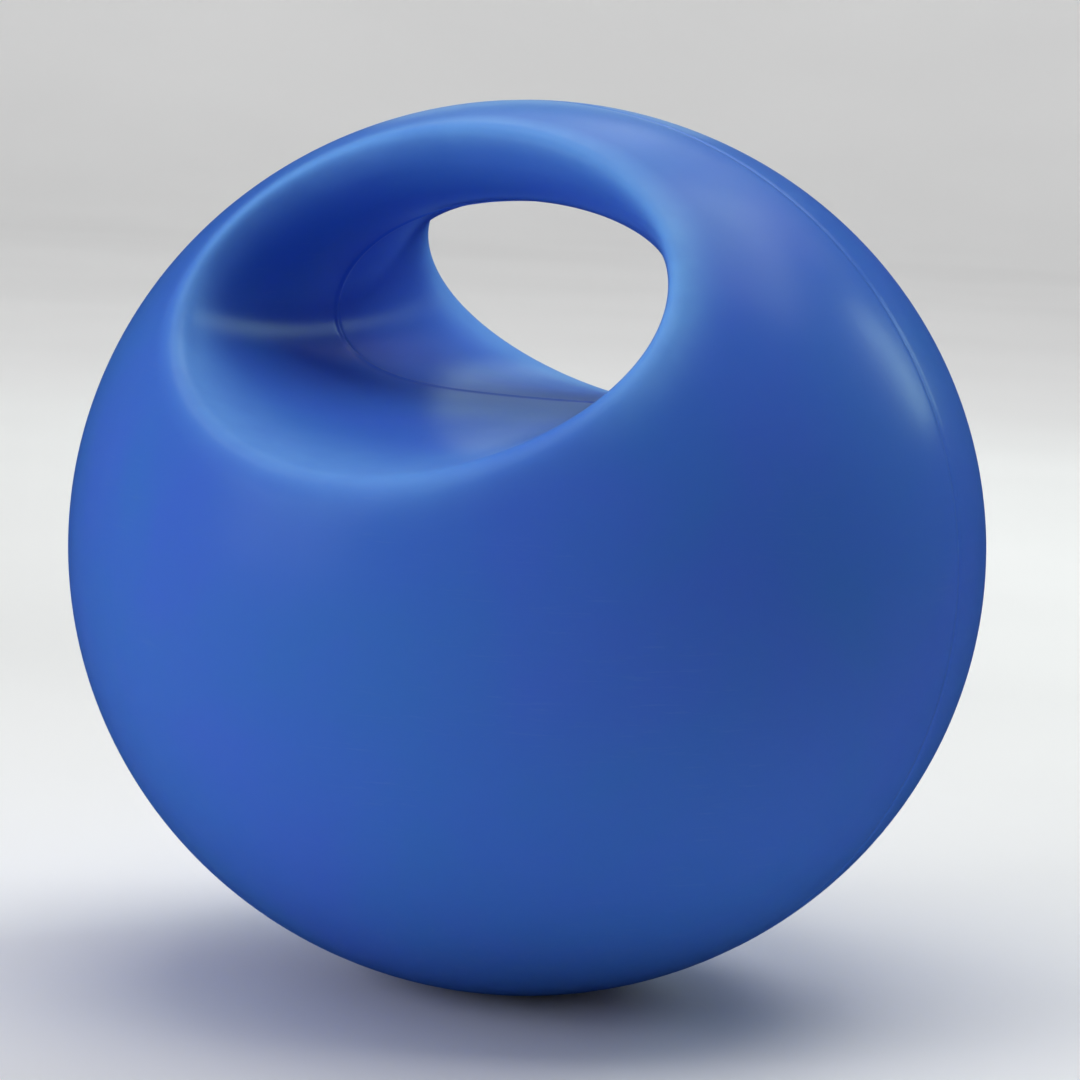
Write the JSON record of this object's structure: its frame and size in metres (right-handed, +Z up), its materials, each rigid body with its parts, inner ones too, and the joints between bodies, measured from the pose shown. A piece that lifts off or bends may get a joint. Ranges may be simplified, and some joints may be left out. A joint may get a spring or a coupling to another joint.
{
  "type": "weighted grip ball",
  "caption": "Round blue soft-vinyl play ball with a hand-grip tunnel right through near the top, a push-in filler plug at the back and loose fill inside.",
  "frame": {"origin": "middle of the small flat that the ball rests on, at the bottom of its box", "axes": "+Z up from the rest flat to the grip bar, +X along the grip bar, +Y along the grip tunnel towards the side that holds the filler plug"},
  "size_m": [0.23, 0.2288, 0.2235],
  "materials": {
    "skin_vinyl": "satin, slightly waxy soft vinyl",
    "seat_rubber": "matt moulded rubber",
    "plug_vinyl": "satin soft vinyl",
    "seal_rubber": "matt black rubber",
    "fill_sand": "dry loose sand"
  },
  "bodies": {
    "ball": {"ball_skin": "skin_vinyl", "filler_seat": "seat_rubber", "ballast": "fill_sand"},
    "plug": {"filler_plug": "plug_vinyl", "plug_seal": "seal_rubber"}
  },
  "joints": [
    {"name": "plug_pull", "type": "slide", "parent": "ball", "child": "plug", "axis": [0, 1, 0], "range_m": [0, 0.024]}
  ]
}
